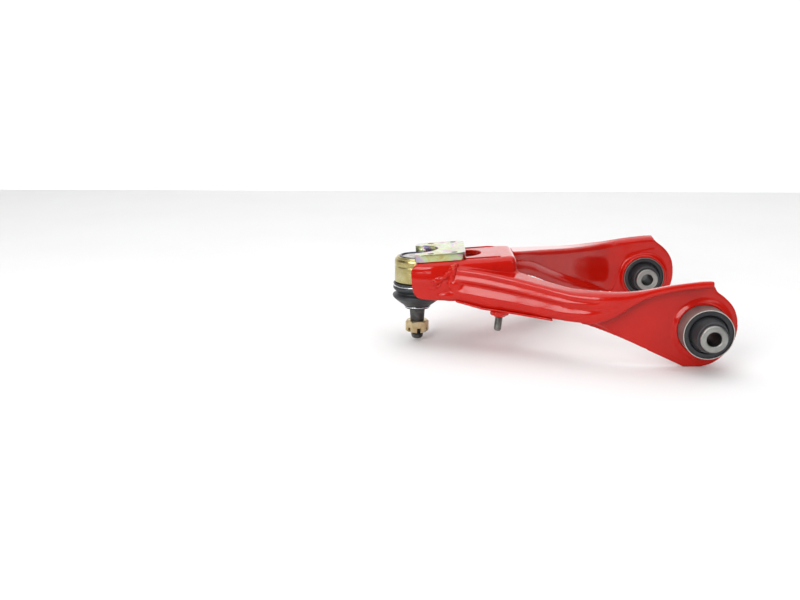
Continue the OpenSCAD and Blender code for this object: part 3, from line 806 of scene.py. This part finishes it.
def boss_piece():
    angle = math.radians(STUD_LEAN)
    axis = Vector((math.sin(angle), 0, -math.cos(angle)))
    foot = Vector(STUD_FOOT)
    spots = []
    rand = random.Random(11)
    for k in range(20):
        a = 2 * math.pi * k / 20
        r = 5.6 + rand.uniform(-0.7, 0.7)
        p = foot + Vector((r * math.cos(a), r * math.sin(a), 0)) + axis * rand.uniform(1.2, 2.2)
        spots.append((*p, rand.uniform(1.4, 2.2)))
    for k in range(12):
        a = 2 * math.pi * k / 12 + 0.2
        p = foot + Vector((4.0 * math.cos(a), 4.0 * math.sin(a), 0)) + axis * rand.uniform(2.4, 3.2)
        spots.append((*p, rand.uniform(1.1, 1.5)))
    core = turned("boss_core", [(0, -4.4), (4.6, -4.4), (7.2, -1), (7.2, 0), (0, 0)], STUD_FOOT, "Z", 48)
    return lumps("stud_boss_weld", spots, 0.35, 3, [core])


place(boss_piece(), "arm", "red_powder_coat", "stud_boss")
for node in ("front_lower_plate", "rear_lower_plate"):
    place(refined(node, 0.5, 3), "arm", "red_powder_coat", node)


# ---------------------------------------------------------------- threads, stud, nut

def thread_profile(r, z0, z1, pitch, depth):
    """(radius, height) points of thread ridges from z0 down to z1."""
    out = []
    z = z0
    while z - pitch > z1:
        out += [(r, z - 0.12 * pitch), (r - depth, z - 0.5 * pitch), (r, z - 0.88 * pitch)]
        z -= pitch
    return out


def bracket_stud():
    prof = [(0, -1), (2.7, -1), (2.7, -5.0)] + thread_profile(3.0, -5.2, -15.0, 1.0, 0.42)
    prof += [(2.5, -15.6), (2.1, -16.1), (0, -16.2)]
    obj = turned("bracket_stud_thread", prof, (0, 0, 0), "Z", 40, False)
    turn = Matrix.Translation(Vector(STUD_FOOT) * MM) @ Matrix.Rotation(math.radians(-STUD_LEAN), 4, "Y")
    obj.data.transform(turn)
    smooth_by_angle(obj, 50)
    return place(obj, "arm", "bracket_steel", "bracket_stud")


bracket_stud()


def ball_stud():
    prof = [(0, 8.48)]
    prof += arc_points(0, 0, 12, 45, -61, 30)
    prof += [(5.8, -11.5), (5.8, -26), (6.5, -29), (6.5, -32), (5.75, -43), (4.5, -43.3), (4.6, -43.9)]
    prof += thread_profile(5.0, -44.1, -56.6, 1.25, 0.55)
    prof += [(4.8, -57.0), (4.5, -58.0), (3.6, -58.8), (2.2, -59.05), (0, -59.1)]
    obj = turned("ball_stud_turned", prof, BALL, "Z", 64, False)
    hole = turned("hole", [(0, -10), (1.25, -10), (1.25, 10), (0, 10)], (0, 0, 0), "Z", 24, False)
    centre = Vector((BALL[0], BALL[1], BALL[2] - 50.7))
    hole.data.transform(Matrix.Translation(centre * MM) @ Matrix.Rotation(math.radians(90), 4, "Y"))
    cut(obj, hole)
    smooth_by_angle(obj, 42)
    return place(obj, "stud", "dark_steel", "ball_stud")


ball_stud()
place(refined("castle_nut", 0.35, 3), "stud", "bronze_zinc", "castle_nut")


# ---------------------------------------------------------------- boot

def spline(points, steps=5):
    out = []
    n = len(points)
    for i in range(n - 1):
        p0, p1, p2, p3 = (Vector(points[min(n - 1, max(0, i + k))]) for k in (-1, 0, 1, 2))
        for k in range(steps):
            u = k / steps
            out.append(tuple(0.5 * (2 * p1 + (p2 - p0) * u + (2 * p0 - 5 * p1 + 4 * p2 - p3) * u * u
                                    + (3 * p1 - p0 - 3 * p2 + p3) * u ** 3)))
    out.append(tuple(points[-1]))
    return out


def boot_part(name, outer, inner):
    profile = spline(outer) + list(reversed(spline(inner)))
    obj = turned(name, profile, BALL, "Z", 96)
    obj.data.polygons.foreach_set("use_smooth", [True] * len(obj.data.polygons))
    smooth_by_angle(obj, 60)
    return obj


BOOT_SPLIT = -21.4
upper = boot_part("boot_upper_fold", [
    (17.0, -10.3), (18.6, -10.35), (19.5, -10.5), (19.9, -11.0), (19.75, -11.7), (19.1, -12.0), (18.9, -12.3),
    (18.9, -13.0), (19.2, -13.3), (19.9, -13.7), (20.15, -14.5), (19.9, -15.7), (18.7, -17.0), (17.5, -18.2),
    (17.3, -18.9), (17.9, -19.6), (19.6, -20.3), (20.4, -20.8), (20.6, BOOT_SPLIT)], [
    (16.4, -10.9), (16.6, -12.5), (16.8, -14.6), (17.0, -15.8), (15.8, -17.4), (15.5, -18.6), (15.8, -20.0),
    (17.4, -20.8), (18.2, -21.1), (18.6, BOOT_SPLIT)])
lower = boot_part("boot_lower_cone", [
    (20.6, BOOT_SPLIT), (20.5, -22.2), (19.8, -23.4), (17.8, -25.2), (14.8, -27.6), (12.2, -29.4), (10.8, -30.1),
    (10.3, -30.4), (10.15, -31.0), (10.3, -31.6), (10.4, -32.1), (9.8, -32.7), (8.4, -33.0)], [
    (18.6, BOOT_SPLIT), (18.2, -22.2), (16.4, -23.9), (13.4, -26.4), (10.4, -28.4), (8.4, -29.6), (7.2, -30.4),
    (6.8, -31.2), (6.8, -32.4)])
for piece in (upper, lower):
    paint(piece, "rubber")


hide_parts("boot")
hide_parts("boot")
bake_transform(upper)
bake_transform(lower)


# ---------------------------------------------------------------- bushes

def bush(side, where):
    y0, y1 = SLEEVE_Y0, SLEEVE_Y1
    sleeve = turned(where + "_outer_sleeve_rim", [(r, side * h) for r, h in rounded([
        (17.4, y0 + 3.5), (18.3, y0 + 2.6), (18.3, y0), (18.9, y0), (19, y0 + 0.4), (19, y1 - 0.6),
        (18.8, y1), (18.3, y1), (18.3, y1 - 2.6), (17.4, y1 - 3.5)], 0.2)], (0, 0, 0), "Y", 128)
    smooth_by_angle(sleeve, 40)
    place(sleeve, "arm", "bush_steel", where + "_outer_sleeve")
    far = 10.0
    prof = [(10.05, y0 - far), (11.4, y0 - far), (12.2, y0 - far + 0.6), (12.4, y0 - far + 2), (12.9, y0 - 0.5),
            (13.4, y0 + 2.6), (14.0, y0 + 2.8), (14.5, y0 + 2.2), (14.7, y0 + 0.7), (15.6, y0 + 0.4),
            (16.8, y0 + 0.6),
            (18.3, y0 + 1.0), (18.3, y0 + 2.6), (17.4, y0 + 3.5), (17.4, y1 - 3.5), (18.3, y1 - 2.6),
            (18.3, y1 - 0.9), (17.2, y1 - 0.8), (15.8, y1 - 0.5), (14.9, y1 - 0.5), (14.5, y1 - 0.9),
            (14.3, y1 - 2.6), (13.7, y1 - 2.8), (13.4, y1 - 2.2), (13.5, y1 + 0.8), (13.1, y1 + 3.2),
            (12.5, y1 + 5.4),
            (12.0, y1 + far - 2.4), (11.6, y1 + far - 0.6), (10.9, y1 + far - 0.1), (10.05, y1 + far)]
    rubber = turned(where + "_rubber_moulding", [(r, side * h) for r, h in rounded(prof, 0.5, 2)], (0, 0, 0), "Y", 96)
    smooth_by_angle(rubber, 50)
    place(rubber, "arm", "rubber", where + "_rubber")
    e0, e1 = y0 - 13, y1 + 13
    tube = turned(where + "_inner_sleeve_tube", [(r, side * h) for r, h in rounded([
        (5.9, e0), (9.3, e0), (10, e0 + 0.7), (10, e1 - 0.7), (9.3, e1), (6.1, e1), (5.2, e1 - 0.9), (5.2, e0 + 0.7)],
        0.3)], (0, 0, 0), "Y", 96)
    smooth_by_angle(tube, 30)
    place(tube, "pivot_sleeves", "sleeve_steel", where + "_inner_sleeve")


bush(1, "front")
bush(-1, "rear")


# ---------------------------------------------------------------- sliding plate and ball housing

place(refined("adjuster_plate", 0.7, 4, 28), "slider", "yellow_zinc", "adjuster_plate")
place(refined("clamp_screws", 0.3, 2), "slider", "dark_steel", "clamp_screws")
place(refined("clamp_washers", 0.15, 2), "slider", "clear_zinc", "clamp_washers")

housing = turned("ball_housing_turned", rounded([
    (12.2, -11), (13.7, -17.5), (15.6, -17.5), (15.6, -9.9), (18.2, -9.9), (18.8, -9.3),
    (18.8, 3.3), (18.4, 3.7), (18.4, 4.3), (18.8, 4.7), (18.8, 8.0), (18.4, 9.4), (17.6, 10.1),
    (16.9, 10.2), (16.9, 11), (16.5, 11.4), (14.9, 11.4), (14.9, 9.6), (14.2, 9.6), (14.2, 6), (15, 5.6), (15, -9)],
    0.4), BALL, "Z", 128)
smooth_by_angle(housing, 35)
place(housing, "slider", "housing_zinc", "ball_housing")
cap = turned("top_cap_disc", [
    (0, 12.25), (4, 12.2), (6.6, 12.0), (7.4, 11.7), (8.0, 11.55), (9, 11.6), (11.4, 11.25), (12.6, 11.05),
    (14.1, 10.85),
    (14.1, 9.7), (11.4, 9.7), (7.4, 11.1), (0, 11.3)], BALL, "Z", 96, False)
smooth_by_angle(cap, 40)
place(cap, "slider", "cap_steel", "top_cap")

for node, finish in (("cap_ring", "spring_steel"), ("pressure_spring", "spring_steel"), ("ball_seat", "seat_plastic"),
                     ("boot_upper_ring", "clear_zinc"), ("boot_lower_ring", "clear_zinc")):
    paint(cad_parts[node], finish)


# ---------------------------------------------------------------- floor, backdrop, lights, camera

def aim(obj, target):
    obj.rotation_euler = (Vector(target) - obj.location).to_track_quat("-Z", "Y").to_euler()


def plain_white(name, level, glow):
    mat, tree, shader, co = node_material(name)
    tree.links.new(ramp(tree, noise(tree, co, 6, 3), [(0.3, (level,) * 3), (0.7, (level * 1.02,) * 3)]),
                   shader.inputs["Base Color"])
    shader.inputs["Roughness"].default_value = 0.9
    shader.inputs["Specular IOR Level"].default_value = 0.1
    if glow:
        shader.inputs["Emission Color"].default_value = (1, 1, 1, 1)
        shader.inputs["Emission Strength"].default_value = glow
    return mat


def add_floor():
    low = cad_box[0][2] - 0.00005
    bm = bmesh.new()
    corners = [bm.verts.new(p) for p in ((-4, -3, low), (4, -3, low), (4, 3, low), (-4, 3, low))]
    bm.faces.new(corners)
    floor = new_object("studio_floor", bm)
    floor.data.materials.append(plain_white("floor_white", 0.9, 0))
    rows = [(-1.1 - 0.9 * math.sin(math.radians(a)), low + 0.001 + 0.9 * (1 - math.cos(math.radians(a))))
            for a in range(0, 91, 6)] + [(-2.0, 3.0)]
    bm = bmesh.new()
    grid = [[bm.verts.new((x, y, z)) for x in (-4, 4)] for y, z in rows]
    for a, b in zip(grid, grid[1:]):
        bm.faces.new((a[0], a[1], b[1], b[0]))
    back = new_object("studio_backdrop", bm)
    back.data.materials.append(plain_white("backdrop_white", 0.9, 0.6))


def add_softbox(name, target, azimuth, elevation, distance, size, radiance):
    """Azimuth is measured from +Y toward +X, both angles in degrees."""
    a, e = math.radians(azimuth), math.radians(elevation)
    data = bpy.data.lights.new(name, "AREA")
    data.shape = "RECTANGLE"
    data.size, data.size_y = size
    data.energy = radiance * math.pi * size[0] * size[1]
    lamp = bpy.data.objects.new(name, data)
    away = Vector((math.sin(a) * math.cos(e), math.cos(a) * math.cos(e), math.sin(e)))
    lamp.location = Vector(target) + distance * away
    aim(lamp, target)
    bpy.context.scene.collection.objects.link(lamp)


def add_world(level):
    world = bpy.data.worlds.new("studio")
    world.use_nodes = True
    world.node_tree.nodes["Background"].inputs["Color"].default_value = (level, level, level, 1)
    bpy.context.scene.world = world


def add_camera():
    cam = bpy.data.cameras.new("camera")
    cam.lens = 40.5
    cam.sensor_width = 36
    obj = bpy.data.objects.new("camera", cam)
    obj.location = (0.2070, 0.7653, 0.1781)
    aim(obj, (0.2325, 0, -0.0027))
    bpy.context.scene.collection.objects.link(obj)
    bpy.context.scene.camera = obj


add_floor()
add_world(0.16)
LEG = (0.150, 0.078, 0.025)
add_softbox("strip_left", LEG, 24.5, 26, 1.6, (0.36, 0.95), 8.0)
add_softbox("strip_far_left", LEG, 40, 26, 1.6, (0.28, 0.95), 8.0)
add_softbox("strip_right", LEG, -42, 30, 1.7, (0.5, 0.9), 2.0)
add_softbox("overhead", (0.1, 0, 0), 0, 90, 1.7, (2.4, 2.4), 1.5)
add_camera()
bpy.context.scene.view_settings.view_transform = "Standard"
